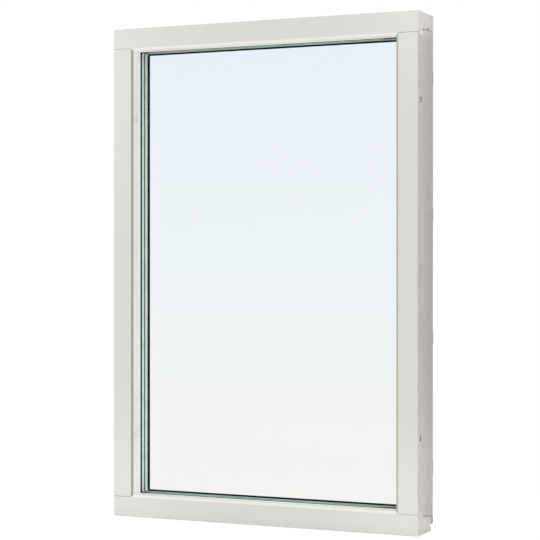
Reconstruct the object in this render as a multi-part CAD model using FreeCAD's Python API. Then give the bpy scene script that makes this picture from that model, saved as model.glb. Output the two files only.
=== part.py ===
import FreeCAD, Part
import math
import os

# Fixed triple-glazed picture window: a painted timber frame, a sealed glass unit held between
# two rubber gaskets, and aluminium cladding clipped to the weather side.
# Millimetres. X runs along the sill, the room is towards -Y, the weather towards +Y, Z is up.
# Every section is drawn in two distances: u, in from the frame's outer edge towards the glass,
# and v, back from the room face.

# Timber frame
frame_width = 780.0
frame_height = 1180.0
frame_depth = 105.0
face_width = 47.8            # flat room face of head, sill and jambs
bevel_width = 4.8
bevel_depth = 3.0
reveal_splay = 0.9           # how far the reveal leans towards the glass
lip_depth = 36.0             # room face to the glazing rebate
arris_r = 1.5                # eased outer corners
edge_r = 0.8                 # eased corners of the bevel
joint_gap = 0.8              # open shadow line where a jamb meets head or sill
joint_depth = 2.0

# Sill
sill_fall_deg = 6.4          # fall of the rebate floor towards the weather
sill_foot_depth = 88.0       # flat underside that the window stands on
sill_foot_rise = 9.4         # height of the foot's back face
nose_height = 15.5           # underside of the nose above the flashing groove
groove_depth = 8.5           # flashing groove, in from the foot's back face

# Sealed glass unit
glass_thick = 4.0
inner_cavity = 12.0          # between the two panes nearest the room
outer_cavity = 16.0
glass_bite = 11.5            # glass behind the lip's sight line
edge_gap = 4.5               # rebate floor to the glass edge
seal_height = 4.8
spacer_height = 7.0
spacer_bend_r = 6.0          # inside of the spacer's bent corners
butyl_thick = 1.3            # sealant between a spacer's side and the glass
butyl_setback = 0.2          # behind the spacer's sight line
block_height = 2.5           # setting block at its room side
block_length = 100.0
block_from_edge = 150.0      # glass edge to the middle of a setting block
block_margin = 2.0           # block set in from the faces of the unit

# Gaskets
room_gasket_setback = 0.2    # behind the lip's sight line
room_gasket_width = 9.6
room_gasket_thick = 4.0
room_nose_r = 1.0            # eased edge towards the opening
tongue_width = 2.4
tongue_depth = 5.0
tongue_setback = 6.0         # sight line to the middle of the tongue
tongue_clearance = 0.2
weather_margin = 4.0         # weather gasket's sight line past the lip's
weather_gasket_width = 10.5
weather_gasket_thick = 3.0
weather_nose_r = 1.4

# Aluminium cladding
clad_thick = 1.8
clad_inset = 12.0            # from the frame's outer edge
clad_stand = 6.0             # front of the face above the timber's back
clad_bend_r = 1.5            # outside of the bends
clad_splay = 16.5            # lean of the glazing leg
clad_foot = 12.5             # flange that presses on the gasket
sill_clad_stand = 13.0
sill_clad_fall = 12.5        # drop of the sloping leg
sill_clad_drop = 12.2        # drip below the back edge of the sill
vent_gap = 3.4               # cladding's edge above the timber's back
seat_gap = 0.3               # jamb cladding above the sill cladding
weep_length = 26.0
weep_height = 6.0
weep_from_end = 130.0
end_cap_thick = 2.0

# Cladding clips
clip_length = 28.0
clip_plate = 2.0             # let in flush with the timber's back
clip_edge = 3.5              # clip set in from the rebate
clip_gap = 2.0               # stud to the inside of the cladding's edge
clip_stud_length = 18.0
clip_stud_width = 12.0
clip_first = 144.0           # frame's end to the first clip
clip_pitch = 298.0
clip_slip = 13.7             # one clip on the right sits lower
pocket_clearance = 0.2

# Wall fixing holes through the jambs
hole_r = 7.0
hole_setback = 18.4          # behind the room face
hole_near = 199.0            # from one end of the jamb
hole_far = 218.0             # from its other end
cap_r = 8.5
cap_thick = 4.0              # plug in a counterbore, clear of the screw
cap_clearance = 0.2
cap_edge_r = 0.6

# Places that follow from the sizes above
front = -sill_foot_depth / 2
bevel_end = face_width + bevel_width
sight = bevel_end + reveal_splay
glass_edge = sight - glass_bite
rebate_floor = glass_edge - edge_gap
glass_front = lip_depth + room_gasket_thick
middle_front = glass_front + glass_thick + inner_cavity
outer_front = middle_front + glass_thick + outer_cavity
pane_fronts = (glass_front, middle_front, outer_front)
glass_back = outer_front + glass_thick
clad_seat = glass_back + weather_gasket_thick
spacer_foot = glass_edge + seal_height
spacer_sight = spacer_foot + spacer_height
bend_end = spacer_sight + 2 * spacer_bend_r
tongue_middle = sight - tongue_setback
weather_sight = sight + weather_margin
clad_face = frame_depth + clad_stand
clad_lip = frame_depth + vent_gap
sill_face = frame_depth + sill_clad_stand
sill_fall = math.tan(math.radians(sill_fall_deg))
sill_floor = glass_edge - block_height
sides = ("bottom", "top", "left", "right")


def sill_floor_at(v):
    # Height of the sloping rebate floor at a depth behind the room face.
    return sill_floor - (v - glass_front) * sill_fall


def drip_height():
    # Underside of the sill cladding's drip above the window's base.
    return sill_floor_at(frame_depth) - sill_clad_drop


def reveal_at(v):
    # Distance in from the outer edge to the splayed reveal at a depth.
    return bevel_end + reveal_splay * (v - bevel_depth) / (lip_depth - bevel_depth)


def corner_arc(before, corner, after, radius):
    # Tangent points and middle point of the arc that rounds one corner.
    to_before = (before - corner).normalize()
    to_after = (after - corner).normalize()
    half = to_before.getAngle(to_after) / 2
    reach = radius / math.tan(half)
    middle = (to_before + to_after).normalize() * (radius / math.sin(half) - radius)
    return corner + to_before * reach, corner + middle, corner + to_after * reach


def rounded_face(corners):
    # Face through the corners, each given with the radius that rounds it.
    points = [point for point, radius in corners]
    starts = []
    ends = []
    edges = []
    for i, (point, radius) in enumerate(corners):
        if radius > 0:
            start, middle, end = corner_arc(points[i - 1], point, points[(i + 1) % len(points)], radius)
            edges.append(Part.Arc(start, middle, end).toShape())
        else:
            start = end = point
        starts.append(start)
        ends.append(end)
    for i, end in enumerate(ends):
        edges.append(Part.makeLine(end, starts[(i + 1) % len(starts)]))
    return Part.Face(Part.Wire(Part.__sortEdges__(edges)))


def bar(section, length):
    # Straight bar of a (u, v, radius) section, lying along X with its outer edge at Z = 0.
    corners = [(FreeCAD.Vector(-length / 2, front + v, u), radius) for u, v, radius in section]
    return rounded_face(corners).extrude(FreeCAD.Vector(length, 0, 0))


def plain(*points):
    # Section with sharp corners.
    return [(u, v, 0) for u, v in points]


def block(u0, u1, v0, v1, length, along=0.0):
    # Rectangular bar, moved along X.
    corner = FreeCAD.Vector(along - length / 2, front + v0, u0)
    return Part.makeBox(length, v1 - v0, u1 - u0, corner)


def place(shape, side):
    # Turn a bar from the bottom of the frame to one of its four sides.
    turn = {"bottom": 0, "right": -90, "top": 180, "left": 90}[side]
    middle = FreeCAD.Vector(0, 0, frame_height / 2)
    reach = frame_width / 2 if side in ("left", "right") else frame_height / 2
    placed = shape.copy()
    placed.translate(FreeCAD.Vector(0, 0, -reach))
    placed.rotate(FreeCAD.Vector(0, 0, 0), FreeCAD.Vector(0, 1, 0), turn)
    placed.translate(middle)
    return placed


def side_length(side):
    return frame_width if side in ("bottom", "top") else frame_height


def strip(u0, u1, v0, v1, side):
    # Rectangular strip round the opening: top and bottom run through, the sides fit between.
    setback = u0 if side in ("bottom", "top") else u1
    return place(block(u0, u1, v0, v1, side_length(side) - 2 * setback), side)


def mitred(section, side):
    # Bar of a section along one side of the opening, mitred into its neighbours.
    length = side_length(side)
    reach = max(u for u, v, radius in section) + edge_gap
    points = [
        FreeCAD.Vector(-length / 2, front, 0),
        FreeCAD.Vector(length / 2, front, 0),
        FreeCAD.Vector(length / 2 - reach, front, reach),
        FreeCAD.Vector(-length / 2 + reach, front, reach),
    ]
    prism = Part.Face(Part.makePolygon(points + points[:1])).extrude(FreeCAD.Vector(0, sill_face, 0))
    return place(bar(section, length).common(prism), side)


def bent_strip(u0, u1, v0, v1, radius, side):
    # Strip round the opening: top and bottom end in bends that lead into the straight sides.
    if side in ("left", "right"):
        return place(block(u0, u1, v0, v1, frame_height - 2 * bend_end), side)
    outer = frame_width / 2 - u0
    inner = frame_width / 2 - u1
    outline = [
        (-outer, u0, 0), (outer, u0, 0), (outer, bend_end, 0), (inner, bend_end, 0),
        (inner, u1, radius), (-inner, u1, radius), (-inner, bend_end, 0), (-outer, bend_end, 0)]
    corners = [(FreeCAD.Vector(x, front + v0, z), r) for x, z, r in outline]
    return place(rounded_face(corners).extrude(FreeCAD.Vector(0, v1 - v0, 0)), side)


def save(name, *solids):
    shape = solids[0] if len(solids) == 1 else Part.makeCompound(list(solids))
    shape.exportStep("parts/" + name + ".step")


def lip_section():
    # Room face, bevel and the splayed reveal back to the glazing rebate.
    return [
        (0, 0, arris_r),
        (face_width, 0, edge_r),
        (bevel_end, bevel_depth, edge_r),
        (sight, lip_depth, 0),
    ]


def frame_section():
    return lip_section() + [
        (rebate_floor, lip_depth, 0),
        (rebate_floor, frame_depth, 0),
        (0, frame_depth, arris_r),
    ]


def sill_section():
    # The sill falls towards the weather, with a nose over a groove for the flashing.
    return lip_section() + [
        (sill_floor_at(lip_depth), lip_depth, 0),
        (sill_floor_at(frame_depth), frame_depth, edge_r),
        (nose_height, frame_depth, edge_r),
        (nose_height, sill_foot_depth - groove_depth, 0),
        (sill_foot_rise, sill_foot_depth, edge_r),
        (0, sill_foot_depth, edge_r),
    ]


def eased_ends():
    # Plan of the frame with eased corners on the room side.
    left = -frame_width / 2
    right = frame_width / 2
    back = front + frame_depth
    corners = [
        (FreeCAD.Vector(left, front, 0), arris_r),
        (FreeCAD.Vector(right, front, 0), arris_r),
        (FreeCAD.Vector(right, back, 0), 0),
        (FreeCAD.Vector(left, back, 0), 0),
    ]
    return rounded_face(corners).extrude(FreeCAD.Vector(0, 0, frame_height))


def cut_gasket_grooves(timber):
    # Stopped grooves in the lip's back for the tongues of the room gasket.
    half = tongue_width / 2 + tongue_clearance
    floor = lip_depth - tongue_depth - tongue_clearance
    for side in sides:
        timber = timber.cut(strip(tongue_middle - half, tongue_middle + half, floor, lip_depth, side))
    return timber


def make_rails():
    plan = eased_ends()
    sill = place(bar(sill_section(), frame_width), "bottom").common(plan)
    head = place(bar(frame_section(), frame_width), "top").common(plan)
    return sill, head


def joint_lines():
    # Narrow gaps where the jambs meet the rails, on the room face and on the outer sides.
    low = face_width - joint_gap / 2
    high = face_width + joint_gap / 2
    gaps = []
    for hand in (-1, 1):
        middle = hand * (frame_width - face_width) / 2
        for side in ("bottom", "top"):
            gaps.append(place(block(low, high, 0, joint_depth, face_width, middle), side))
    floors = {
        "bottom": (sill_floor_at(lip_depth), sill_floor_at(frame_depth)),
        "top": (rebate_floor, rebate_floor),
    }
    for side, (start, end) in floors.items():
        section = plain(
            (start, lip_depth), (end, frame_depth),
            (end + joint_gap, frame_depth), (start + joint_gap, lip_depth))
        for hand in (-1, 1):
            gap = bar(section, joint_depth)
            gap.translate(FreeCAD.Vector(hand * (frame_width - joint_depth) / 2, 0, 0))
            gaps.append(place(gap, side))
    return Part.makeCompound(gaps)


def hole_places(side):
    # Heights of the fixing holes: the right jamb is the left one turned end for end.
    if side == "right":
        return (hole_far, frame_height - hole_near)
    return (hole_near, frame_height - hole_far)


def along_jamb(side, height):
    # Position along an unturned bar that lands at a height on a jamb.
    offset = height - frame_height / 2
    return offset if side == "right" else -offset


def upright(radius, u0, u1, along):
    # Round post at a fixing hole, standing across an unturned bar.
    foot = FreeCAD.Vector(along, front + hole_setback, u0)
    return Part.makeCylinder(radius, u1 - u0, foot)


def make_jamb(side, rails):
    # Bar between the rails, scribed over their sections, with its fixing holes.
    low = sill_floor_at(frame_depth) - 1
    high = frame_height - rebate_floor + 1
    length = high - low
    jamb = bar(frame_section(), length)
    jamb.translate(FreeCAD.Vector(along_jamb(side, (low + high) / 2), 0, 0))
    cap_seat = reveal_at(hole_setback) - cap_thick
    for height in hole_places(side):
        along = along_jamb(side, height)
        jamb = jamb.cut(upright(hole_r, -1, sight + 1, along))
        jamb = jamb.cut(upright(cap_r + cap_clearance, cap_seat, sight + 1, along))
    jamb = place(jamb, side)
    for rail in rails:
        jamb = jamb.cut(rail)
    return jamb


def make_caps(side):
    # Cover caps with an eased rim that close the fixing holes on the reveal.
    cap_face = reveal_at(hole_setback)
    caps = []
    for height in hole_places(side):
        cap = upright(cap_r, cap_face - cap_thick, cap_face, along_jamb(side, height))
        rim = [edge for edge in cap.Edges if edge.BoundBox.ZMin > cap_face - cap_edge_r]
        caps.append(place(cap.makeFillet(cap_edge_r, rim), side))
    return caps


def make_pane(number):
    width = frame_width - 2 * glass_edge
    v0 = pane_fronts[number]
    return block(glass_edge, frame_height - glass_edge, v0, v0 + glass_thick, width)


def cavity(number):
    # Depths between which a cavity lies, counted from the room.
    return pane_fronts[number] + glass_thick, pane_fronts[number + 1]


def make_spacer(number, side):
    start, end = cavity(number)
    return bent_strip(
        spacer_foot, spacer_sight, start + butyl_thick, end - butyl_thick, spacer_bend_r, side)


def make_seal(number, side):
    # Sealant behind a spacer, with thin legs up both of its sides.
    start, end = cavity(number)
    seal = strip(glass_edge, spacer_foot, start, end, side)
    leg_top = spacer_sight - butyl_setback
    leg_bend = spacer_bend_r + butyl_setback
    for v0 in (start, end - butyl_thick):
        seal = seal.fuse(bent_strip(spacer_foot, leg_top, v0, v0 + butyl_thick, leg_bend, side))
    return seal.removeSplitter()


def make_setting_blocks():
    # Tapered blocks that level the glass on the sloping sill.
    v0 = glass_front + block_margin
    v1 = glass_back - block_margin
    section = plain(
        (sill_floor_at(v0), v0), (glass_edge, v0), (glass_edge, v1), (sill_floor_at(v1), v1))
    blocks = []
    for hand in (-1, 1):
        packer = bar(section, block_length)
        middle = frame_width / 2 - glass_edge - block_from_edge
        packer.translate(FreeCAD.Vector(hand * middle, 0, 0))
        blocks.append(packer)
    return blocks


def make_room_gasket(side):
    # Flat strip with a tongue in the lip's groove and an eased nose towards the opening.
    edge = sight - room_gasket_setback
    heel = edge - room_gasket_width
    low = tongue_middle - tongue_width / 2
    high = tongue_middle + tongue_width / 2
    tip = lip_depth - tongue_depth
    return mitred([
        (heel, lip_depth, 0), (low, lip_depth, 0), (low, tip, 0), (high, tip, 0), (high, lip_depth, 0),
        (edge, lip_depth, room_nose_r), (edge, glass_front, room_nose_r), (heel, glass_front, 0)], side)


def make_weather_gasket(side):
    heel = weather_sight - weather_gasket_width
    return mitred([
        (heel, glass_back, 0), (weather_sight, glass_back, weather_nose_r),
        (weather_sight, clad_seat, weather_nose_r), (heel, clad_seat, 0)], side)


def clad_section():
    # Open aluminium section: edge lip, face, splayed glazing leg and a flange on the gasket.
    face_end = weather_sight - clad_splay
    flange_end = weather_sight - clad_foot
    inside = clad_face - clad_thick
    slope = clad_splay / (clad_face - clad_seat)
    return [
        (clad_inset, clad_lip, 0),
        (clad_inset, clad_face, clad_bend_r),
        (face_end, clad_face, clad_bend_r),
        (weather_sight, clad_seat, 0),
        (flange_end, clad_seat, 0),
        (flange_end, clad_seat + clad_thick, 0),
        (weather_sight - clad_thick * (1 + slope), clad_seat + clad_thick, 0),
        (face_end - clad_thick * (1 - slope), inside, 0),
        (clad_inset + clad_thick, inside, 0),
        (clad_inset + clad_thick, clad_lip, 0),
    ]


def sill_clad_slope():
    return sill_clad_fall / (sill_face - clad_seat)


def sill_clad_section():
    # Sloping leg, drop face and a drip that returns under the nose of the sill.
    drip = drip_height()
    shoulder = weather_sight - sill_clad_fall
    flange_end = weather_sight - clad_foot
    inside = sill_face - clad_thick
    slope = sill_clad_slope()
    return [
        (drip, clad_lip, 0),
        (drip, sill_face, clad_bend_r),
        (shoulder, sill_face, clad_bend_r),
        (weather_sight, clad_seat, 0),
        (flange_end, clad_seat, 0),
        (flange_end, clad_seat + clad_thick, 0),
        (weather_sight - clad_thick * (1 + slope), clad_seat + clad_thick, 0),
        (shoulder - clad_thick * (1 - slope), inside, 0),
        (drip + clad_thick, inside, 0),
        (drip + clad_thick, clad_lip, 0),
    ]


def make_end_caps():
    # Plates that close the sill cladding's ends against the back of the timber.
    foot = drip_height() + clad_thick
    inside = sill_face - clad_thick
    slope = sill_clad_slope()
    shoulder = weather_sight - sill_clad_fall - clad_thick * (1 - slope)
    section = plain(
        (foot, frame_depth), (foot, inside), (shoulder, inside),
        (shoulder + (inside - frame_depth) * slope, frame_depth))
    caps = []
    for hand in (-1, 1):
        cap = bar(section, end_cap_thick)
        cap.translate(FreeCAD.Vector(hand * (frame_width / 2 - clad_inset - end_cap_thick / 2), 0, 0))
        caps.append(cap)
    return caps


def mitre_prism():
    # Block whose sloping ends cut the head cladding and the tops of the jamb cladding.
    half = frame_width / 2
    reach = weather_sight + edge_gap
    points = [
        FreeCAD.Vector(-half, front, frame_height),
        FreeCAD.Vector(half, front, frame_height),
        FreeCAD.Vector(half - reach, front, frame_height - reach),
        FreeCAD.Vector(-half + reach, front, frame_height - reach),
    ]
    outline = Part.makePolygon(points + points[:1])
    return Part.Face(outline).extrude(FreeCAD.Vector(0, sill_face, 0))


def below_sill_cladding():
    # Everything that the sill cladding keeps the jamb cladding out of.
    shoulder = weather_sight - sill_clad_fall
    return bar(plain(
        (0, glass_back),
        (weather_sight + seat_gap, glass_back),
        (weather_sight + seat_gap, clad_seat),
        (shoulder + seat_gap, sill_face),
        (0, sill_face)), frame_width)


def make_claddings():
    mitre = mitre_prism()
    head = place(bar(clad_section(), frame_width), "top").common(mitre)
    below = below_sill_cladding()
    jambs = {}
    for side in ("left", "right"):
        jambs[side] = place(bar(clad_section(), frame_height), side).cut(mitre).cut(below)
    sill = bar(sill_clad_section(), frame_width - 2 * clad_inset)
    weep_low = drip_height() + clad_thick
    for hand in (-1, 1):
        along = hand * (frame_width / 2 - weep_from_end)
        weep = block(weep_low, weep_low + weep_height, clad_seat, sill_face + 1, weep_length, along)
        sill = sill.cut(weep)
        post_middle = hand * (frame_width - rebate_floor) / 2
        post = block(0, weather_sight + 1, 0, clad_lip, rebate_floor + 2 * seat_gap, post_middle)
        sill = sill.cut(post)
    return sill, head, jambs


def clip_middles(side):
    # Clips lie at a set distance from both ends, with even gaps of about one pitch between.
    run = side_length(side) - 2 * clip_first
    gaps = max(1, round(run / clip_pitch))
    middles = [run / 2 - i * run / gaps for i in range(gaps + 1)]
    if side == "right":
        middles[1] -= clip_slip
    return middles


def clip_edges(side):
    # Two edges of a clip's plate across the timber's back.
    if side == "bottom":
        return nose_height + clip_edge, sill_floor_at(frame_depth) - clip_edge
    return 0, rebate_floor - clip_edge


def clip_pockets(side):
    # Shallow pockets in the timber's back that take the plates of the clips.
    low, high = clip_edges(side)
    length = clip_length + 2 * pocket_clearance
    pockets = []
    for along in clip_middles(side):
        pocket = block(
            low - pocket_clearance, high + pocket_clearance,
            frame_depth - clip_plate, frame_depth, length, along)
        pockets.append(place(pocket, side))
    return Part.makeCompound(pockets)


def make_clips(side):
    # Plates let into the timber's back, each with a stud that carries the cladding's face.
    low, high = clip_edges(side)
    if side == "bottom":
        stud_low = drip_height() + clad_thick + clip_gap
        stud_high = high
        stud_back = sill_face - clad_thick
    else:
        stud_low = clad_inset + clad_thick + clip_gap
        stud_high = stud_low + clip_stud_width
        stud_back = clad_face - clad_thick
    clips = []
    for along in clip_middles(side):
        plate = block(low, high, frame_depth - clip_plate, frame_depth, clip_length, along)
        stud = block(stud_low, stud_high, frame_depth, stud_back, clip_stud_length, along)
        clips.append(place(plate.fuse(stud).removeSplitter(), side))
    return clips


def main():
    os.makedirs("parts", exist_ok=True)
    sill, head = make_rails()
    joints = joint_lines()
    save("sill", cut_gasket_grooves(sill.cut(joints).cut(clip_pockets("bottom"))))
    save("head", cut_gasket_grooves(head.cut(joints).cut(clip_pockets("top"))))
    for side in ("left", "right"):
        jamb = make_jamb(side, (sill, head)).cut(joints).cut(clip_pockets(side))
        save(side + "_jamb", cut_gasket_grooves(jamb))
        save(side + "_hole_caps", *make_caps(side))
    for number, name in enumerate(("inner", "middle", "outer")):
        save(name + "_pane", make_pane(number))
    save("setting_blocks", *make_setting_blocks())
    for side in sides:
        save("inner_spacer_" + side, make_spacer(0, side))
        save("outer_spacer_" + side, make_spacer(1, side))
        save("edge_seal_" + side, make_seal(0, side), make_seal(1, side))
        save("room_gasket_" + side, make_room_gasket(side))
        save("weather_gasket_" + side, make_weather_gasket(side))
        save("cladding_clips_" + side, *make_clips(side))
    sill_cladding, head_cladding, jamb_claddings = make_claddings()
    save("sill_cladding", sill_cladding)
    save("sill_cladding_ends", *make_end_caps())
    save("head_cladding", head_cladding)
    for side, cladding in jamb_claddings.items():
        save(side + "_cladding", cladding)


main()
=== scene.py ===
import math

import bpy
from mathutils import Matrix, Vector


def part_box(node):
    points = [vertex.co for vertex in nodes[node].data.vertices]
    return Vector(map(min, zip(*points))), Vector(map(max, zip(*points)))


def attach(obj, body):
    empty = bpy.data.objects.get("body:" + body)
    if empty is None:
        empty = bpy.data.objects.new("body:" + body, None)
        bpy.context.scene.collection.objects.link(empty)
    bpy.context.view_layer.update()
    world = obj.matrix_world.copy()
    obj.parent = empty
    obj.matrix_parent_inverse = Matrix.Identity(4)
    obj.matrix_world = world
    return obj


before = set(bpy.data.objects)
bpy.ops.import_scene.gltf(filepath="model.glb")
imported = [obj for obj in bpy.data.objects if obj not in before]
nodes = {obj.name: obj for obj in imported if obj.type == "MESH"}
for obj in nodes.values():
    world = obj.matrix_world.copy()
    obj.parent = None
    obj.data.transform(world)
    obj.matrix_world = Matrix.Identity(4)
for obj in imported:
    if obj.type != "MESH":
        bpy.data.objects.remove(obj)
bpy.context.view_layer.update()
scene = bpy.context.scene
scene.view_settings.view_transform = "Standard"
print("frame loaded:", len(nodes), "nodes")

# camera: a long lens at mid height, a little to the right of the room face
viewpoint = {
    "place": (1.6341, -3.6112, 0.6078),
    "turnDeg": (89.8438, -0.0166, 24.2624),
    "lens": 111.985,
    "sensor": 36.0,
    "reach": 100.0,
}


def setCamera():
    data = bpy.data.cameras.new("roomCamera")
    data.lens = viewpoint["lens"]
    data.sensor_width = viewpoint["sensor"]
    data.clip_end = viewpoint["reach"]
    holder = bpy.data.objects.new("roomCamera", data)
    holder.location = viewpoint["place"]
    holder.rotation_euler = [math.radians(a) for a in viewpoint["turnDeg"]]
    scene.collection.objects.link(holder)
    scene.camera = holder


# small helpers for node trees
def put(tree, kind, values=None, **settings):
    node = tree.nodes.new(kind)
    for key, value in settings.items():
        setattr(node, key, value)
    for key, value in (values or {}).items():
        if isinstance(value, bpy.types.NodeSocket):
            tree.links.new(value, node.inputs[key])
        else:
            node.inputs[key].default_value = value
    return node


def made(tree, kind, values=None, **settings):
    return put(tree, kind, values, **settings).outputs[0]


def calc(tree, operation, *values):
    return made(tree, "ShaderNodeMath", dict(enumerate(values)), operation=operation)


def product(tree, first, *others):
    for other in others:
        first = calc(tree, "MULTIPLY", first, other)
    return first


def distance(tree, across, up):
    square = calc(tree, "ADD", product(tree, across, across), product(tree, up, up))
    return calc(tree, "SQRT", square)


def scaled(tree, tone, factor):
    start = tone if isinstance(tone, bpy.types.NodeSocket) else tone[:3]
    return made(tree, "ShaderNodeVectorMath", {0: start, "Scale": factor}, operation="SCALE")


def stretched(tree, place, scale):
    return made(tree, "ShaderNodeVectorMath", {0: place, 1: scale}, operation="MULTIPLY")


def mixed(tree, mask, under, over):
    return put(tree, "ShaderNodeMix", {0: mask, 6: under, 7: over}, data_type="RGBA").outputs[2]


def ramped(tree, value, low, high, start=0.0, end=1.0, curve="SMOOTHSTEP"):
    values = {"Value": value, 1: low, 2: high, 3: start, 4: end}
    return made(tree, "ShaderNodeMapRange", values, interpolation_type=curve)


def between(tree, mask, start, end):
    return ramped(tree, mask, 0.0, 1.0, start, end, "LINEAR")


def noise(tree, place, scale, detail=3.0, rough=0.55):
    values = {"Vector": place, "Scale": scale, "Detail": detail, "Roughness": rough}
    return made(tree, "ShaderNodeTexNoise", values)


noiseSpan = (0.3, 0.7)  # most of a noise lies in here


def cloudy(tree, value, start, end):
    return ramped(tree, value, *noiseSpan, start, end, "LINEAR")


def bumped(tree, height, strength, depth):
    return made(tree, "ShaderNodeBump", {"Height": height, "Strength": strength, "Distance": depth})


def newMaterial(name):
    material = bpy.data.materials.new(name)
    material.use_nodes = True
    material.node_tree.nodes.clear()
    return material, material.node_tree


def objectPlace(tree):
    place = put(tree, "ShaderNodeTexCoord").outputs["Object"]
    return place, put(tree, "ShaderNodeSeparateXYZ", {0: place}).outputs


def closeMaterial(tree, shader):
    put(tree, "ShaderNodeOutputMaterial", {"Surface": shader})


def newGroup(name, inputs, outputs):
    group = bpy.data.node_groups.new(name, "ShaderNodeTree")
    for label, kind in inputs:
        group.interface.new_socket(name=label, in_out="INPUT", socket_type=kind)
    for label, kind in outputs:
        group.interface.new_socket(name=label, in_out="OUTPUT", socket_type=kind)
    return group, put(group, "NodeGroupInput").outputs


def useGroup(tree, group, values):
    return put(tree, "ShaderNodeGroup", values, node_tree=group).outputs


number = "NodeSocketFloat"
vector = "NodeSocketVector"
colour = "NodeSocketColor"
coatOutputs = [("Colour", colour), ("Roughness", number), ("Height", number)]


# 1 between two limits, 0 outside, with soft edges
def makeBandMask():
    inputs = [("Value", number), ("Low", number), ("High", number), ("Soft", number)]
    group, given = newGroup("bandMask", inputs, [("Mask", number)])
    sides = []
    for limit in ("Low", "High"):
        start = calc(group, "SUBTRACT", given[limit], given["Soft"])
        end = calc(group, "ADD", given[limit], given["Soft"])
        sides.append(ramped(group, given["Value"], start, end))
    inside = product(group, sides[0], calc(group, "SUBTRACT", 1.0, sides[1]))
    put(group, "NodeGroupOutput", {"Mask": inside})
    return group


# paint over machined timber: even on the faces, thin and mottled where Thin is 1
coatLook = {
    "fibre": (1.0, 4.0, 0.6),  # scale, detail and roughness of each noise
    "cloud": (3.1, 2.0),
    "blotches": (62.0, 4.0, 0.62),
    "specks": (420.0, 2.0, 0.5),
    "cloudTones": (0.985, 1.012),
    "mottleTones": (0.9, 1.1),
    "fibreShare": 0.3,
    "blotchShare": 0.7,
    "rough": 0.4,
    "fibreRough": 0.12,
    "thinRough": 0.2,
    "grainDepths": (0.3, 1.0),  # even coat, thin coat
    "speckDepth": 0.12,
}


def makePaintCoat():
    inputs = [("Place", vector), ("Grain", vector), ("Tone", colour)]
    inputs += [("Thin Tone", colour), ("Thin", number)]
    group, given = newGroup("paintCoat", inputs, coatOutputs)
    along = stretched(group, given["Place"], given["Grain"])
    fibre = noise(group, along, *coatLook["fibre"])
    cloud = noise(group, given["Place"], *coatLook["cloud"])
    blotches = noise(group, given["Place"], *coatLook["blotches"])
    specks = noise(group, given["Place"], *coatLook["specks"])
    evenTone = scaled(group, given["Tone"], cloudy(group, cloud, *coatLook["cloudTones"]))
    mottle = calc(group, "ADD", product(group, fibre, coatLook["fibreShare"]),
                  product(group, blotches, coatLook["blotchShare"]))
    wornAndShaded = scaled(group, given["Thin Tone"], cloudy(group, mottle, *coatLook["mottleTones"]))
    both = mixed(group, given["Thin"], evenTone, wornAndShaded)
    rough = calc(group, "ADD", coatLook["rough"], product(group, fibre, coatLook["fibreRough"]))
    rough = calc(group, "ADD", rough, product(group, given["Thin"], coatLook["thinRough"]))
    grain = product(group, fibre, between(group, given["Thin"], *coatLook["grainDepths"]))
    height = calc(group, "ADD", grain, product(group, specks, coatLook["speckDepth"]))
    put(group, "NodeGroupOutput", {"Colour": both, "Roughness": rough, "Height": height})
    return group


# moulded or extruded skin: faint cloudiness in tone and gloss, and a fine pebble
skinLook = {
    "cloud": (35.0, 3.0),
    "pebble": (2.0, 0.5),  # detail and roughness
    "cloudTones": (0.9, 1.1),
    "cloudRough": (-0.06, 0.06),
    "bump": 0.4,
    "shine": 0.5,
}


def makeMouldedSkin():
    inputs = [("Place", vector), ("Tone", colour), ("Pebble", number), ("Rough", number)]
    group, given = newGroup("mouldedSkin", inputs, coatOutputs)
    cloud = noise(group, given["Place"], *skinLook["cloud"])
    pebble = noise(group, given["Place"], given["Pebble"], *skinLook["pebble"])
    tone = scaled(group, given["Tone"], cloudy(group, cloud, *skinLook["cloudTones"]))
    rough = calc(group, "ADD", given["Rough"], cloudy(group, cloud, *skinLook["cloudRough"]))
    put(group, "NodeGroupOutput", {"Colour": tone, "Roughness": rough, "Height": pebble})
    return group


bandMask = makeBandMask()
paintCoat = makePaintCoat()
mouldedSkin = makeMouldedSkin()
print("shared effects ready")


# in the values below a band is a low limit, a high limit and a soft edge; a ramp is a start and an
# end, then what it gives there, if that isn't 0 and 1
def band(tree, value, low, high, soft):
    return useGroup(tree, bandMask, {"Value": value, "Low": low, "High": high, "Soft": soft})["Mask"]


# timber: off-white paint, thinner and greyer, with painted shade, on the sides that go into the wall
timberPaint = {
    "tone": (0.752, 0.746, 0.71, 1.0),
    "railGrain": (14.0, 160.0, 160.0),
    "jambGrain": (160.0, 160.0, 14.0),
    "bump": (0.25, 0.0004),
    "shine": 0.4,
    "midHeight": 0.59,
    "reveal": (0.3385, 0.338),
    "revealLights": (1.055, 1.14, 1.22),  # painted light on the jambs' reveals: middle, upper end, lower end
    "revealTop": (1.0, 1.12),
    "revealFoot": (0.2, 0.07),
    "bevel": (0.0474, 0.0538, 0.0003),  # painted light on the rails' bevels and reveals
    "bevelLight": 1.18,
    "lip": (-0.0145, -0.0125),  # from here back a painted highlight runs along the gasket
    "jambLipLight": 1.13,
    "railLipLight": 1.06,
}
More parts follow.
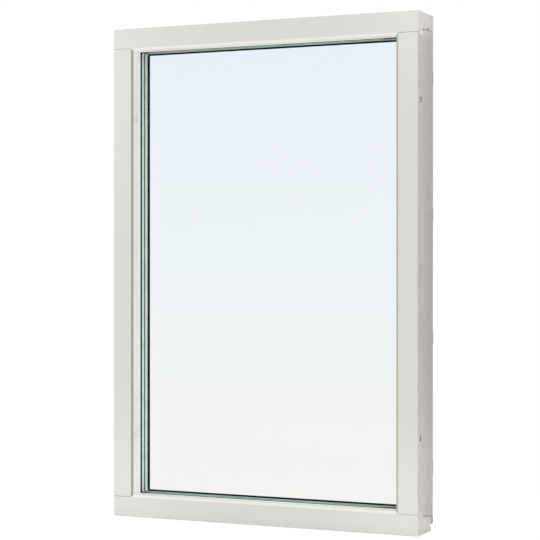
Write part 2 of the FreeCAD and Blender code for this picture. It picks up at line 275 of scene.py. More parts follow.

# the thin paint of the outer sides, the back, the top and the underside; its dark tone is also painted
# shade
thinPaint = {
    "tone": (0.475, 0.457, 0.43, 1.0),
    "side": (0.3886, 0.3893),
    "back": (0.0598, 0.0605),
    "top": (1.1786, 1.1793),
    "under": (0.0014, 0.0007),
    "footLift": (0.38, 0.11, 1.0, 1.17),
    "topLift": (1.05, 1.12, 1.0, 1.04),
    "endLift": (1.118, 1.15, 1.0, 1.14),
    "railLift": (0.5, 0.6, 1.14, 1.08),  # sill, head
    "jambFade": (-0.034, 0.05, 1.13, 0.965),  # painted shade, darker to the weather side
    # painted shade: the rails' thin sides darker to the weather side
    "railFade": (0.01, 0.045, 1.1, 1.0),
    "foot": (0.35, 0.15),
    "footTint": (1.0, 0.98, 0.98),  # the feet of the jambs are a little pinker
    "noseBack": (0.045, 0.049),  # painted shade on the back edge of the sill, and on its heel below
    "noseHeight": (0.1, 0.05),
    "heelBack": (0.0405, 0.0425),
    "heelHeight": (0.016, 0.013),
    "noseShade": 0.66,
}


# where a point of the timber lies, as values that the paint and the marks share
def timberPlaces(tree):
    place, (across, depth, height) = objectPlace(tree)
    middle = timberPaint["midHeight"]
    fromMiddle = calc(tree, "ABSOLUTE", calc(tree, "SUBTRACT", height, middle))
    where = {"place": place, "across": across, "depth": depth, "height": height}
    where["outward"] = calc(tree, "ABSOLUTE", across)
    where["inward"] = calc(tree, "SUBTRACT", middle, fromMiddle)
    where["side"] = ramped(tree, where["outward"], *thinPaint["side"])
    where["isLow"] = calc(tree, "LESS_THAN", height, middle)
    where["isRight"] = calc(tree, "GREATER_THAN", across, 0.0)
    return where


def faceTone(tree, where, upright):
    if upright:
        # painted light on the jambs' reveals, stronger at their upper and lower ends
        middle, upper, lower = timberPaint["revealLights"]
        top = ramped(tree, where["height"], *timberPaint["revealTop"], middle, upper)
        foot = ramped(tree, where["height"], *timberPaint["revealFoot"], middle, lower)
        ends = calc(tree, "MAXIMUM", top, foot)
        reveal = ramped(tree, where["outward"], *timberPaint["reveal"])
        paintedLight = calc(tree, "ADD", 1.0, product(tree, reveal, calc(tree, "SUBTRACT", ends, 1.0)))
    else:
        # painted light on the rails' bevels and reveals
        bevel = band(tree, where["inward"], *timberPaint["bevel"])
        paintedLight = between(tree, bevel, 1.0, timberPaint["bevelLight"])
    # a painted highlight on the reveal's back edge, along the gasket
    lift = timberPaint["jambLipLight" if upright else "railLipLight"]
    gasketEdgeLight = ramped(tree, where["depth"], *timberPaint["lip"], 1.0, lift)
    return scaled(tree, timberPaint["tone"], product(tree, paintedLight, gasketEdgeLight))


def thinSides(tree, where, upright):
    outer = calc(tree, "MAXIMUM", where["side"], ramped(tree, where["depth"], *thinPaint["back"]))
    if not upright:
        for end in ("top", "under"):
            outer = calc(tree, "MAXIMUM", outer, ramped(tree, where["height"], *thinPaint[end]))
    return outer


def thinTone(tree, where, upright):
    depth, height = where["depth"], where["height"]
    lifts = [ramped(tree, height, *thinPaint[lift]) for lift in ("footLift", "topLift", "endLift")]
    if upright:
        lifts.append(ramped(tree, depth, *thinPaint["jambFade"]))
    else:
        lifts.append(ramped(tree, height, *thinPaint["railLift"]))
        # painted shade on the sill's back edge and on its heel
        wornAndShaded = 0.0
        for edge in ("nose", "heel"):
            back = ramped(tree, depth, *thinPaint[edge + "Back"])
            part = product(tree, back, ramped(tree, height, *thinPaint[edge + "Height"]))
            wornAndShaded = calc(tree, "MAXIMUM", wornAndShaded, part)
        lifts.append(between(tree, wornAndShaded, 1.0, thinPaint["noseShade"]))
        lifts.append(ramped(tree, depth, *thinPaint["railFade"]))
    tone = scaled(tree, thinPaint["tone"], product(tree, *lifts))
    if upright:
        foot = ramped(tree, height, *thinPaint["foot"])
        tone = mixed(tree, foot, tone, stretched(tree, tone, thinPaint["footTint"]))
    return tone


# joints: painted shade in the lines of the room face; bare wood, painted light, stain, painted shade on
# the outer sides
jointMarks = {
    "faceLine": (0.0472, 0.0484, 0.0001),
    "faceDepth": (-0.0436, -0.0418, 0.0002),
    "jointShadeTones": ((0.18, 0.17, 0.155, 1.0), (0.54, 0.52, 0.49, 1.0)),  # painted shade, darker and paler corners
    "bareAndLitSkin": (0.387, 0.3897, 0.0001),
    "bareAndLitLine": (0.0316, 0.0415, 0.0002),
    "bareAndLitDepth": (-0.009, 0.0585, 0.0005),
    "bareAndLitTones": ((0.75, 0.73, 0.69, 1.0), (0.21, 0.15, 0.11, 1.0)),  # painted light in the upper joint's groove, bare wood in the lower joint
    "sillFall": 0.1116,  # slope of the sill's seat
    "stain": (0.0377, 0.0408, 0.0007),  # brown along the lower side joint, measured up the slope
    "stainDepth": (-0.007, 0.046, 0.005),
    "patches": (130.0, 3.0),
    "patchShares": (0.35, 0.6, 0.15, 0.6),
    "stainTone": (0.3, 0.235, 0.19, 1.0),
    "lipEdge": (-0.0087, -0.0069, 0.0004),  # painted shade along the edge behind the sill's lip
    "lipEdgeHeight": (0.0405, 0.0535, 0.001),
    "lipShadeTone": (0.4, 0.36, 0.32, 1.0),
}


def markJoints(tree, where, finish):
    depth, inward, side = where["depth"], where["inward"], where["side"]
    joint = band(tree, inward, *jointMarks["faceLine"])
    joint = product(tree, joint, band(tree, depth, *jointMarks["faceDepth"]))
    # the painted shade is paler in the lower right and the upper left corner
    paleShadeCorner = calc(tree, "COMPARE", where["isLow"], where["isRight"], 0.5)
    finish = mixed(tree, joint, finish, mixed(tree, paleShadeCorner, *jointMarks["jointShadeTones"]))
    # bare wood in the lower side joint; in the upper one, painted light against the groove's shade
    bareAndLit = band(tree, where["outward"], *jointMarks["bareAndLitSkin"])
    bareAndLit = product(tree, bareAndLit, band(tree, inward, *jointMarks["bareAndLitLine"]))
    bareAndLit = product(tree, bareAndLit, band(tree, depth, *jointMarks["bareAndLitDepth"]))
    finish = mixed(tree, bareAndLit, finish, mixed(tree, where["isLow"], *jointMarks["bareAndLitTones"]))
    upSlope = calc(tree, "ADD", where["height"], product(tree, depth, jointMarks["sillFall"]))
    patches = noise(tree, where["place"], *jointMarks["patches"])
    patches = ramped(tree, patches, *jointMarks["patchShares"])
    stain = product(tree, band(tree, upSlope, *jointMarks["stain"]), patches)
    stain = product(tree, stain, band(tree, depth, *jointMarks["stainDepth"]), side)
    finish = mixed(tree, stain, finish, jointMarks["stainTone"])
    # painted shade along the edge behind the sill's lip
    lipShade = band(tree, depth, *jointMarks["lipEdge"])
    lipShade = product(tree, lipShade, band(tree, where["height"], *jointMarks["lipEdgeHeight"]), side)
    return mixed(tree, lipShade, finish, jointMarks["lipShadeTone"])


# wear at the upper joints of the sides: a touch of filler, an open line at the lip, scuffs, chips
wearMarks = {
    "filler": ((-0.0265, 1.1303, 0.0062),),  # depth, height and half height of each mark
    "scuffs": ((0.0055, 1.1418, 0.0018), (0.032, 1.144, 0.002), (0.047, 1.1436, 0.0017)),
    "chips": ((-0.0075, 1.1406, 0.0022), (0.0225, 1.1455, 0.0028)),
    "fillerTone": (0.72, 0.71, 0.67, 1.0),
    "scuffsTone": (0.45, 0.29, 0.23, 1.0),
    "chipsTone": (0.085, 0.035, 0.012, 1.0),
    "fillerStretch": 0.5,  # the marks run along the joint
    "chipStretch": 0.4,
    "core": 0.6,  # share of a mark that is full
    "fillerNoise": (240.0, 2.0),
    "fillerRagged": (-0.0022, 0.0022),
    "chipNoise": (700.0, 2.0),
    "chipRagged": (-0.0005, 0.0005),
    "lipLine": (0.0534, 0.0547, 0.0002),
    "lipDepth": (-0.037, -0.021, 0.002),
    "lipSlant": 0.06,
    "lipTone": (0.17, 0.15, 0.13, 1.0),
}


def spotMask(tree, where, spots, stretch, ragged):
    kept = 0.0
    for depth, height, radius in spots:
        across = product(tree, calc(tree, "SUBTRACT", where["depth"], depth), stretch)
        up = calc(tree, "SUBTRACT", where["height"], height)
        away = calc(tree, "ADD", distance(tree, across, up), ragged)
        kept = calc(tree, "MAXIMUM", kept, ramped(tree, away, radius, radius * wearMarks["core"]))
    return kept


def markWear(tree, where, finish):
    rightSide = product(tree, where["side"], where["isRight"])
    ragged = noise(tree, where["place"], *wearMarks["fillerNoise"])
    ragged = cloudy(tree, ragged, *wearMarks["fillerRagged"])
    filler = spotMask(tree, where, wearMarks["filler"], wearMarks["fillerStretch"], ragged)
    finish = mixed(tree, product(tree, filler, rightSide), finish, wearMarks["fillerTone"])
    fromFront = calc(tree, "SUBTRACT", where["depth"], wearMarks["lipDepth"][0])
    slant = product(tree, fromFront, wearMarks["lipSlant"])
    lip = band(tree, calc(tree, "SUBTRACT", where["inward"], slant), *wearMarks["lipLine"])
    lip = product(tree, lip, band(tree, where["depth"], *wearMarks["lipDepth"]), where["side"])
    lip = product(tree, lip, calc(tree, "SUBTRACT", 1.0, where["isLow"]))
    finish = mixed(tree, lip, finish, wearMarks["lipTone"])
    ragged = noise(tree, where["place"], *wearMarks["chipNoise"])
    ragged = cloudy(tree, ragged, *wearMarks["chipRagged"])
    for kind in ("scuffs", "chips"):
        spots = spotMask(tree, where, wearMarks[kind], wearMarks["chipStretch"], ragged)
        finish = mixed(tree, product(tree, spots, rightSide), finish, wearMarks[kind + "Tone"])
    return finish


# jambs only: painted shade in a grey line along the inner edge of the room face, darker on the left jamb
jambEdgeShade = {
    "band": (0.3372, 0.3426, 0.0005),
    "depth": (-0.0407, -0.0413),
    "tones": ((0.36, 0.37, 0.3, 1.0), (0.46, 0.465, 0.4, 1.0)),  # left jamb, right jamb
}


def shadeEdges(tree, where, finish):
    # painted shade along the jambs' inner edge
    edge = band(tree, where["outward"], *jambEdgeShade["band"])
    edge = product(tree, edge, ramped(tree, where["depth"], *jambEdgeShade["depth"]))
    return mixed(tree, edge, finish, mixed(tree, where["isRight"], *jambEdgeShade["tones"]))


# fixing holes in the jambs: raw wood with painted light and shade inside, torn paint at the rim, painted
# shade round the caps
fixingHoles = {
    "row": -0.0256,
    "heights": (0.2085, 0.9715),
    "shift": 0.0095,  # the right jamb's holes are higher than the left's
    "bore": (0.0073, 0.0067),
    "rings": (900.0, 900.0, 90.0),
    "ringTones": (0.8, 1.2),
    # raw wood, its tone raised as painted light in the shaded bore
    "rawTone": (0.94, 0.59, 0.26, 1.0),
    "boreShade": (0.0015, 0.006, 1.08, 0.1),  # painted shade at the bore's top and foot, painted light in its middle
    "rim": (0.0073, 0.009, 0.0004),
    "rimRise": (0.0045, 0.0065),  # torn above and below only
    "rimTone": (0.7, 0.65, 0.58, 1.0),
    # painted shade in a fine line round the caps, on their front half
    "capShade": (0.0087, 0.0098, 0.0002),
    "capDepth": (-0.024, -0.028),
    "capShadeTone": (0.5, 0.49, 0.45, 1.0),
}


def holeDistance(tree, where):
    away = []
    rises = []
    shift = product(tree, calc(tree, "SIGN", where["across"]), fixingHoles["shift"])
    across = calc(tree, "SUBTRACT", where["depth"], fixingHoles["row"])
    for height in fixingHoles["heights"]:
        up = calc(tree, "SUBTRACT", where["height"], calc(tree, "ADD", shift, height))
        away.append(distance(tree, across, up))
        rises.append(calc(tree, "ABSOLUTE", up))
    return calc(tree, "MINIMUM", *away), calc(tree, "MINIMUM", *rises)


def markHoles(tree, where, finish):
    fromHole, rise = holeDistance(tree, where)
    # painted shade round the caps, on their front half only
    capShade = band(tree, fromHole, *fixingHoles["capShade"])
    capShade = product(tree, capShade, ramped(tree, where["outward"], *timberPaint["reveal"]))
    capShade = product(tree, capShade, ramped(tree, where["depth"], *fixingHoles["capDepth"]))
    finish = mixed(tree, capShade, finish, fixingHoles["capShadeTone"])
    rim = product(tree, band(tree, fromHole, *fixingHoles["rim"]), where["side"])
    rim = product(tree, rim, ramped(tree, rise, *fixingHoles["rimRise"]))
    finish = mixed(tree, rim, finish, fixingHoles["rimTone"])
    rings = noise(tree, stretched(tree, where["place"], fixingHoles["rings"]), 1.0)
    rings = ramped(tree, rings, *noiseSpan, *fixingHoles["ringTones"])
    raw = scaled(tree, fixingHoles["rawTone"], rings)
    # painted shade at the bore's top and foot, painted light in its middle
    raw = scaled(tree, raw, ramped(tree, rise, *fixingHoles["boreShade"]))
    return mixed(tree, ramped(tree, fromHole, *fixingHoles["bore"]), finish, raw)


def makeTimber(name, upright):
    material, tree = newMaterial(name)
    where = timberPlaces(tree)
    given = {"Place": where["place"], "Grain": timberPaint["jambGrain" if upright else "railGrain"]}
    given["Tone"] = faceTone(tree, where, upright)
    given["Thin Tone"] = thinTone(tree, where, upright)
    given["Thin"] = thinSides(tree, where, upright)
    coat = useGroup(tree, paintCoat, given)
    finish = markJoints(tree, where, coat["Colour"])
    finish = markWear(tree, where, finish)
    if upright:
        finish = shadeEdges(tree, where, finish)
        finish = markHoles(tree, where, finish)
    values = {"Base Color": finish, "Roughness": coat["Roughness"]}
    values["Normal"] = bumped(tree, coat["Height"], *timberPaint["bump"])
    values["Specular IOR Level"] = timberPaint["shine"]
    closeMaterial(tree, made(tree, "ShaderNodeBsdfPrincipled", values))
    return material


# plastics and rubbers share one skin
skins = {
    "coverCap": {"tone": (0.74, 0.733, 0.698, 1.0), "pebble": 900.0, "rough": 0.38, "depth": 0.00008},
    "settingBlock": {"tone": (0.035, 0.036, 0.04, 1.0), "pebble": 500.0, "rough": 0.5, "depth": 0.0002},
    "clip": {"tone": (0.07, 0.07, 0.07, 1.0), "pebble": 700.0, "rough": 0.45, "depth": 0.0001},
    "clipPin": {"tone": (0.12, 0.12, 0.115, 1.0), "pebble": 900.0, "rough": 0.35, "depth": 0.00005},
    "sealant": {"tone": (0.005, 0.022, 0.017, 1.0), "pebble": 160.0, "rough": 0.6, "depth": 0.0006,
                "shine": 0.1},
    "gasket": {"tone": (0.002, 0.008, 0.0065, 1.0), "pebble": 1200.0, "rough": 0.7, "depth": 0.0001,
               "shine": 0.1},
}


def makeSkin(name):
    setup = skins[name]
    material, tree = newMaterial(name)
    place = objectPlace(tree)[0]
    given = {"Place": place, "Tone": setup["tone"], "Pebble": setup["pebble"], "Rough": setup["rough"]}
    skin = useGroup(tree, mouldedSkin, given)
    values = {"Base Color": skin["Colour"], "Roughness": skin["Roughness"]}
    values["Normal"] = bumped(tree, skin["Height"], skinLook["bump"], setup["depth"])
    values["Specular IOR Level"] = setup.get("shine", skinLook["shine"])
    closeMaterial(tree, made(tree, "ShaderNodeBsdfPrincipled", values))
    return material


# spacer bars: light grey, with rows of breathing holes along the face to the glass's middle
spacerBar = {
    "uprightTone": (0.7, 0.8, 0.755, 1.0),
    # painted shade: the flat bars take this darker copy of the upright bars' grey
    "flatShadedTone": (0.52, 0.64, 0.61, 1.0),
    "dotTone": (0.2, 0.22, 0.21, 1.0),
    "pebble": 800.0,
    "rough": 0.4,
    "bump": (0.3, 0.0002),
    "middles": (0.006, 0.024),  # the two cavities, as Y
    "outerShare": (0.0125, 0.0155, 1.0, 0.9),  # the outer bars are a little darker
    "footShare": (0.16, 0.07, 1.0, 1.13),  # and all get painted light at the lower bends
    "headShare": (0.6, 0.95, 1.0, 0.92),
    "dull": (-0.0035, 0.0035, 0.84, 1.07),  # darker towards the room, paler towards the weather side
    # painted shade on the flat bars towards their ends, where the corners shade them, the inner ones
    # further
    "rightCornerShade": (0.272, 0.304, 1.0, 0.16),
    "leftCornerShade": (-0.312, -0.327, 1.0, 0.35),
    "outerCornerShade": (-0.324, -0.332, 1.0, 0.4),
    "bends": (0.3328, 0.3352),  # here the flat bars turn up into their bends
    "seam": (0.1397, 0.1407, 0.0001),  # butt joint of the left bars
    "pitch": 0.004,
    "dot": (0.00045, 0.00025),
    "rowGap": 0.0042,
}


def makeSpacer(name, upright):
    material, tree = newMaterial(name)
    place, (across, depth, height) = objectPlace(tree)
    inner, outer = [calc(tree, "SUBTRACT", depth, middle) for middle in spacerBar["middles"]]
    fromInner, fromOuter = calc(tree, "ABSOLUTE", inner), calc(tree, "ABSOLUTE", outer)
    isInner = calc(tree, "LESS_THAN", fromInner, fromOuter)
    offMiddle = made(tree, "ShaderNodeMix", {0: isInner, 2: outer, 3: inner})
    shares = [ramped(tree, depth, *spacerBar["outerShare"])]
    shares += [ramped(tree, height, *spacerBar[share]) for share in ("footShare", "headShare")]
    shares.append(ramped(tree, offMiddle, *spacerBar["dull"]))
    tone = scaled(tree, spacerBar["uprightTone"], product(tree, *shares))
    if not upright:
        # painted shade towards the ends of the flat bars
        cornerShades = [ramped(tree, across, *spacerBar[cornerShade]) for cornerShade in ("rightCornerShade", "leftCornerShade")]
        # painted shade, darker flat bars
        innerTone = scaled(tree, spacerBar["flatShadedTone"], product(tree, *cornerShades))
        outerTone = scaled(tree, spacerBar["flatShadedTone"], ramped(tree, across, *spacerBar["outerCornerShade"]))
        flat = mixed(tree, isInner, outerTone, innerTone)
        bend = ramped(tree, calc(tree, "ABSOLUTE", across), *spacerBar["bends"])
        tone = mixed(tree, bend, flat, tone)
    given = {"Place": place, "Tone": tone, "Pebble": spacerBar["pebble"], "Rough": spacerBar["rough"]}
    skin = useGroup(tree, mouldedSkin, given)
    steps = calc(tree, "DIVIDE", height if upright else across, spacerBar["pitch"])
    step = calc(tree, "SUBTRACT", calc(tree, "FRACT", steps), 0.5)
    along = product(tree, step, spacerBar["pitch"])
    aside = calc(tree, "SUBTRACT", calc(tree, "ABSOLUTE", offMiddle), spacerBar["rowGap"])
    dot = ramped(tree, distance(tree, along, aside), *spacerBar["dot"])
    if upright:
        seam = band(tree, height, *spacerBar["seam"])
        seam = product(tree, seam, calc(tree, "LESS_THAN", across, 0.0))
        dot = calc(tree, "MAXIMUM", dot, seam)
    values = {"Base Color": mixed(tree, dot, skin["Colour"], spacerBar["dotTone"])}
    values["Roughness"] = skin["Roughness"]
    values["Normal"] = bumped(tree, calc(tree, "SUBTRACT", skin["Height"], dot), *spacerBar["bump"])
    closeMaterial(tree, made(tree, "ShaderNodeBsdfPrincipled", values))
    return material


# glass: clear float with a faint cool cast; lamps pass it, so it throws no dark shadow
floatGlass = {
    "tone": (0.994, 0.997, 0.995, 1.0),
    "mirrorTint": (0.12, 0.13, 0.13, 1.0),  # coated, so it mirrors little face on
    "ior": 1.5,
    "film": (5.0, 4.0),
    "haze": (0.45, 0.8, 0.0, 0.012),
}


def makeGlass(name):
    material, tree = newMaterial(name)
    place = objectPlace(tree)[0]
    haze = ramped(tree, noise(tree, place, *floatGlass["film"]), *floatGlass["haze"])
    values = {"Base Color": floatGlass["tone"], "Roughness": haze, "IOR": floatGlass["ior"]}
    values["Transmission Weight"] = 1.0
    values["Specular Tint"] = floatGlass["mirrorTint"]
    clear = made(tree, "ShaderNodeBsdfPrincipled", values)
    through = made(tree, "ShaderNodeBsdfTransparent", {"Color": floatGlass["tone"]})
    shadow = put(tree, "ShaderNodeLightPath").outputs["Is Shadow Ray"]
    closeMaterial(tree, made(tree, "ShaderNodeMixShader", {0: shadow, 1: clear, 2: through}))
    return material


# cladding: white powder coat on aluminium, with faint orange peel and a little dust low down
powderCoat = {
    "tone": (0.76, 0.757, 0.725, 1.0),
    "rough": 0.36,
    "peel": (620.0, 2.0, 0.45),
    "bump": (0.3, 0.0002),
    "cloud": (4.0, 3.0),
    "cloudTones": (0.985, 1.015),
    "runs": (60.0, 60.0, 3.0),
    "runShares": (0.5, 0.75),
    "runHeight": (0.5, 0.0),
    "dustTone": 0.95,
    "dustRough": 0.15,
    "corner": (0.39, 1.18),  # where the upper mitres start
    "mitre": (0.00075, 0.0005),  # dirt in the hairline of the mitred upper corners
    "mitreTone": (0.2, 0.2, 0.19, 1.0),
}


def makePowderCoat(name):
    material, tree = newMaterial(name)
    place, (across, _, height) = objectPlace(tree)
    peel = noise(tree, place, *powderCoat["peel"])
    cloud = noise(tree, place, *powderCoat["cloud"])
    runs = noise(tree, stretched(tree, place, powderCoat["runs"]), 1.0)
    runs = ramped(tree, runs, *powderCoat["runShares"])
    dust = product(tree, runs, ramped(tree, height, *powderCoat["runHeight"]))
    tone = scaled(tree, powderCoat["tone"], cloudy(tree, cloud, *powderCoat["cloudTones"]))
    tone = scaled(tree, tone, between(tree, dust, 1.0, powderCoat["dustTone"]))
    inward = calc(tree, "SUBTRACT", powderCoat["corner"][0], calc(tree, "ABSOLUTE", across))
    down = calc(tree, "SUBTRACT", powderCoat["corner"][1], height)
    offMitre = calc(tree, "ABSOLUTE", calc(tree, "SUBTRACT", inward, down))
    tone = mixed(tree, ramped(tree, offMitre, *powderCoat["mitre"]), tone, powderCoat["mitreTone"])
    rough = calc(tree, "ADD", powderCoat["rough"], product(tree, dust, powderCoat["dustRough"]))
    values = {"Base Color": tone, "Roughness": rough}
    values["Normal"] = bumped(tree, peel, *powderCoat["bump"])
    closeMaterial(tree, made(tree, "ShaderNodeBsdfPrincipled", values))
    return material


def dress(material, *names):
    for name in names:
        mesh = nodes[name].data
        mesh.materials.clear()
        mesh.materials.append(material)


def dressNodes():
    sides = ("left", "right")
    flats = ("top", "bottom")
    panes = ("inner_pane", "middle_pane", "outer_pane")
    dress(makeTimber("railPaint", False), "head", "sill")
    dress(makeTimber("jambPaint", True), "left_jamb", "right_jamb")
    dress(makeSkin("coverCap"), "left_hole_caps", "right_hole_caps")
    dress(makeGlass("floatGlass"), *panes)
    for name in panes:
        nodes[name].visible_diffuse = False  # soft light passes the panes freely
    dress(makeSkin("settingBlock"), "setting_blocks")
    for upright, names in ((True, sides), (False, flats)):
        spacer = makeSpacer("uprightSpacer" if upright else "flatSpacer", upright)
        dress(spacer, *["inner_spacer_" + n for n in names], *["outer_spacer_" + n for n in names])
    around = sides + flats
    dress(makeSkin("sealant"), *["edge_seal_" + n for n in around])
    rubber = makeSkin("gasket")
    dress(rubber, *["room_gasket_" + n for n in around], *["weather_gasket_" + n for n in around])
    dress(makeSkin("clip"), "sill_cladding_ends", *["cladding_clips_" + n for n in around])
    dress(makePowderCoat("powderCoat"), *[n + "_cladding" for n in sides + ("head", "sill")])
    print("materials on all nodes")


# push-in pins that hold the cladding clips in the timber's back
clipPin = {
    "radius": 0.003,
    "facets": 24,
    "rim": 0.0009,  # above the clip's plate
    "sunk": 0.0006,  # into the plate
    "slopes": ((0.0005, 0.0004), (0.0008, 0.0002)),  # inset and rise of each ring of the dome
    "socketRim": 0.0005,
    "socketDepth": 0.0008,
    "socketTaper": 0.8,
    "softEdge": 0.00012,
    "softSteps": 2,
    "softAngle": 35.0,
    "smoothAngle": 40.0,
    "inset": 0.006,  # from the frame's outer edge
    "clipLength": 0.028,
    "clips": {"left": 4, "right": 4, "top": 3},
    "slipped": ("right", 2),  # one clip on the right sits lower
    "slip": 0.0137,
}


def pickTop(piece):
    facingUp = 0.9
    bpy.ops.object.mode_set(mode="EDIT")
    bpy.ops.mesh.select_mode(type="FACE")
    bpy.ops.mesh.select_all(action="DESELECT")
    bpy.ops.object.mode_set(mode="OBJECT")
    for face in piece.data.polygons:
        face.select = face.normal.z > facingUp
    bpy.ops.object.mode_set(mode="EDIT")


def onlySelect(piece):
    bpy.ops.object.select_all(action="DESELECT")
    piece.select_set(True)
    bpy.context.view_layer.objects.active = piece


def modelPin():
    bpy.ops.object.select_all(action="DESELECT")
    height = clipPin["rim"] + clipPin["sunk"]
    middle = (0.0, 0.0, clipPin["rim"] - height / 2)
    bpy.ops.mesh.primitive_cylinder_add(
        vertices=clipPin["facets"], radius=clipPin["radius"], depth=height, location=middle)
    pin = bpy.context.active_object
    bpy.ops.object.transform_apply(location=True, rotation=True, scale=True)
    pickTop(pin)
    for inward, rise in clipPin["slopes"]:
        bpy.ops.mesh.inset(thickness=inward)
        bpy.ops.transform.translate(value=(0.0, 0.0, rise))
    bpy.ops.mesh.inset(thickness=clipPin["socketRim"])
    down = {"value": (0.0, 0.0, -clipPin["socketDepth"])}
    bpy.ops.mesh.extrude_region_move(TRANSFORM_OT_translate=down)
    bpy.ops.transform.resize(value=(clipPin["socketTaper"], clipPin["socketTaper"], 1.0))
    bpy.ops.object.mode_set(mode="OBJECT")
    soft = pin.modifiers.new("softEdge", "BEVEL")
    soft.width = clipPin["softEdge"]
    soft.segments = clipPin["softSteps"]
    soft.limit_method = "ANGLE"
    soft.angle_limit = math.radians(clipPin["softAngle"])
    bpy.ops.object.modifier_apply(modifier=soft.name)
    bpy.ops.object.shade_smooth_by_angle(angle=math.radians(clipPin["smoothAngle"]))
    return pin


# middles of the clips' bare ends, from the clips' own boxes
def pinPlaces():
    half = clipPin["clipLength"] / 2
    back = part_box("left_jamb")[1][1]
    places = []
    for side, count in clipPin["clips"].items():
        low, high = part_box("cladding_clips_" + side)
        axis = 0 if side == "top" else 2
        first, last = low[axis] + half, high[axis] - half
        for i in range(count):
            along = first + (last - first) * i / (count - 1)
            if (side, i) == clipPin["slipped"]:
                along -= clipPin["slip"]
            if side == "top":
                spot = (along, back, high[2] - clipPin["inset"])
            elif side == "left":
                spot = (low[0] + clipPin["inset"], back, along)
            else:
                spot = (high[0] - clipPin["inset"], back, along)
            places.append(("clipPin_%s_%d" % (side, i + 1), spot))
    return places


def makePins():
    pattern = modelPin()
    plastic = makeSkin("clipPin")
    for name, spot in pinPlaces():
        pin = pattern.copy()
        pin.data = pattern.data.copy()
        pin.name = name
        scene.collection.objects.link(pin)
        pin.rotation_euler = (math.radians(-90.0), 0.0, 0.0)
        pin.location = spot
        onlySelect(pin)
        bpy.ops.object.transform_apply(location=True, rotation=True, scale=True)
        pin.data.materials.append(plastic)
        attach(pin, "root")
    bpy.data.objects.remove(pattern)
    print("clip pins placed")


# studio: pale floor, white surround, soft lamps at the corners and sides, two behind the panes
studio = {
    "floorSize": 300.0,
    "floorDrop": 0.0005,
    "floorTone": (0.86, 0.86, 0.86, 1.0),
    "floorGlow": 0.13,
    "shadowReach": (1.1, 0.4),  # beyond this the floor is plain white to the eye
    "shadowShare": (0.3, 0.3, 0.3, 1.0),
    "nearGlow": 0.76,
    "levelLight": 0.15,
    "overheadLight": 1.17,
    "sideLight": 0.71,
    "white": (1.0, 1.0, 1.0, 1.0),
    "beyondNear": (0.954, 0.938, 0.921, 1.0),  # what shows through the panes, from the floor up
    "beyondLevel": (0.887, 0.938, 0.966, 1.0),
    "beyondHigh": (0.851, 0.9, 0.984, 1.0),
    "halfWay": 5.2,  # distance at which the floor is half way to the horizon's tint
    "beyondRise": 0.13,  # height of a look that has the highest tint
    "mirrorFirst": (0.15, 0.17, 0.17, 1.0),  # the room in a surface that faces it
    "mirrorInner": (0.03, 0.035, 0.035, 1.0),  # and in the surfaces behind
    "lamps": {
        "upperLeft": {"place": (-0.66, -0.36, 1.2), "size": (0.25, 0.25), "power": 0.255},
        "upperRight": {"place": (0.62, -0.34, 1.28), "size": (0.25, 0.25), "power": 0.38},
        "lowerLeft": {"place": (-0.42, -0.3, 0.07), "size": (0.1, 0.1), "power": 0.12},
        "lowerRight": {"place": (0.42, -0.3, 0.05), "size": (0.1, 0.1), "power": 0.1},
        "frontLeft": {"place": (-0.75, -0.55, 0.86), "size": (0.2, 0.6), "power": 0.47},
        "frontRight": {"place": (0.75, -0.6, 0.42), "size": (0.2, 0.6), "power": 0.21},
        "behindLow": {"place": (0.0, 0.5, 0.12), "size": (0.4, 0.2), "power": 0.8},
        "behindHigh": {"place": (0.0, 0.5, 1.06), "size": (0.4, 0.2), "power": 0.6},
    },
}


# rays that came straight, through panes only, and those that were mirrored on the way
def rayKinds(tree, extraDepth):
    halfStep = 0.5
    path = put(tree, "ShaderNodeLightPath").outputs
    turned = calc(tree, "SUBTRACT", path["Ray Depth"], path["Transmission Depth"])
    straight = calc(tree, "LESS_THAN", turned, extraDepth + halfStep)
    through = product(tree, path["Is Transmission Ray"], straight)
    first = calc(tree, "LESS_THAN", path["Transmission Depth"], halfStep)
    mirrored = calc(tree, "MAXIMUM", path["Is Glossy Ray"], path["Is Transmission Ray"])
    return path["Is Camera Ray"], through, mirrored, first


def layered(tree, under, layers):
    for ray, shader in layers:
        under = made(tree, "ShaderNodeMixShader", {0: ray, 1: under, 2: shader})
    return under


def shining(tree, kind, strength, tone):
    return made(tree, kind, {"Color": tone, "Strength": strength})


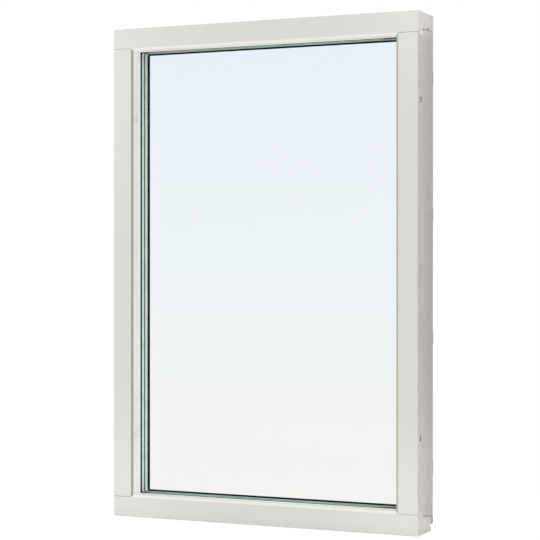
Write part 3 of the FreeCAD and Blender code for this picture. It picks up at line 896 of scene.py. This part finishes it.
def makeFloor():
    bpy.ops.object.select_all(action="DESELECT")
    bpy.ops.mesh.primitive_plane_add(size=studio["floorSize"], location=(0.0, 0.0, -studio["floorDrop"]))
    floor = bpy.context.active_object
    floor.name = "studioFloor"
    material, tree = newMaterial("studioFloor")
    place, axes = objectPlace(tree)
    seen, through, mirrored, first = rayKinds(tree, 0)
    emission = "ShaderNodeEmission"
    plain = made(tree, "ShaderNodeBsdfDiffuse", {"Color": studio["floorTone"]})
    lit = shining(tree, emission, studio["floorGlow"], studio["white"])
    bounced = made(tree, "ShaderNodeAddShader", {0: plain, 1: lit})
    # to the eye: white, with the shadow near the window
    reach = put(tree, "ShaderNodeVectorMath", {0: place}, operation="LENGTH").outputs[1]
    near = ramped(tree, reach, *studio["shadowReach"])
    shade = made(tree, "ShaderNodeBsdfDiffuse", {"Color": studio["shadowShare"]})
    glow = shining(tree, emission, studio["nearGlow"], studio["white"])
    shaded = made(tree, "ShaderNodeAddShader", {0: glow, 1: shade})
    white = shining(tree, emission, 1.0, studio["white"])
    eye = made(tree, "ShaderNodeMixShader", {0: near, 1: white, 2: shaded})
    # through the panes: from neutral near the window to cool at the horizon
    away = calc(tree, "ABSOLUTE", axes[1])
    far = calc(tree, "DIVIDE", away, calc(tree, "ADD", away, studio["halfWay"]))
    tint = mixed(tree, far, studio["beyondNear"], studio["beyondLevel"])
    paned = shining(tree, emission, 1.0, tint)
    room = mixed(tree, first, studio["mirrorInner"], studio["mirrorFirst"])
    mirror = shining(tree, emission, 1.0, room)
    closeMaterial(tree, layered(tree, bounced, ((mirrored, mirror), (through, paned), (seen, eye))))
    floor.data.materials.append(material)


def makeWorld():
    world = bpy.data.worlds.new("studioSurround")
    scene.world = world
    world.use_nodes = True
    tree = world.node_tree
    tree.nodes.clear()
    seen, through, mirrored, first = rayKinds(tree, 1)  # the surround counts as one step further
    background = "ShaderNodeBackground"
    direction = put(tree, "ShaderNodeTexCoord").outputs["Generated"]
    aside, _, height = put(tree, "ShaderNodeSeparateXYZ", {0: direction}).outputs
    level = between(tree, height, studio["levelLight"], studio["overheadLight"])
    level = calc(tree, "ADD", level, product(tree, aside, aside, studio["sideLight"]))
    rise = ramped(tree, height, 0.0, studio["beyondRise"], curve="LINEAR")
    beyond = mixed(tree, rise, studio["beyondLevel"], studio["beyondHigh"])
    room = mixed(tree, first, studio["mirrorInner"], studio["mirrorFirst"])
    soft = shining(tree, background, level, studio["white"])
    white = shining(tree, background, 1.0, studio["white"])
    paned = shining(tree, background, 1.0, beyond)
    mirror = shining(tree, background, 1.0, room)
    surround = layered(tree, soft, ((mirrored, mirror), (through, paned), (seen, white)))
    put(tree, "ShaderNodeOutputWorld", {"Surface": surround})


def makeLamps():
    for name, setup in studio["lamps"].items():
        aim = Vector((0.0, 0.0, setup["place"][2]))  # level, towards the window's middle
        data = bpy.data.lights.new(name, "AREA")
        data.shape = "RECTANGLE"
        data.size, data.size_y = setup["size"]
        data.energy = setup["power"]
        lamp = bpy.data.objects.new(name, data)
        lamp.location = setup["place"]
        lamp.rotation_euler = (aim - lamp.location).to_track_quat("-Z", "Y").to_euler()
        lamp.visible_camera = False
        lamp.visible_glossy = False  # kept out of the panes
        lamp.visible_transmission = False
        scene.collection.objects.link(lamp)


setCamera()
makeFloor()
makeWorld()
makeLamps()
print("studio ready")
dressNodes()
makePins()
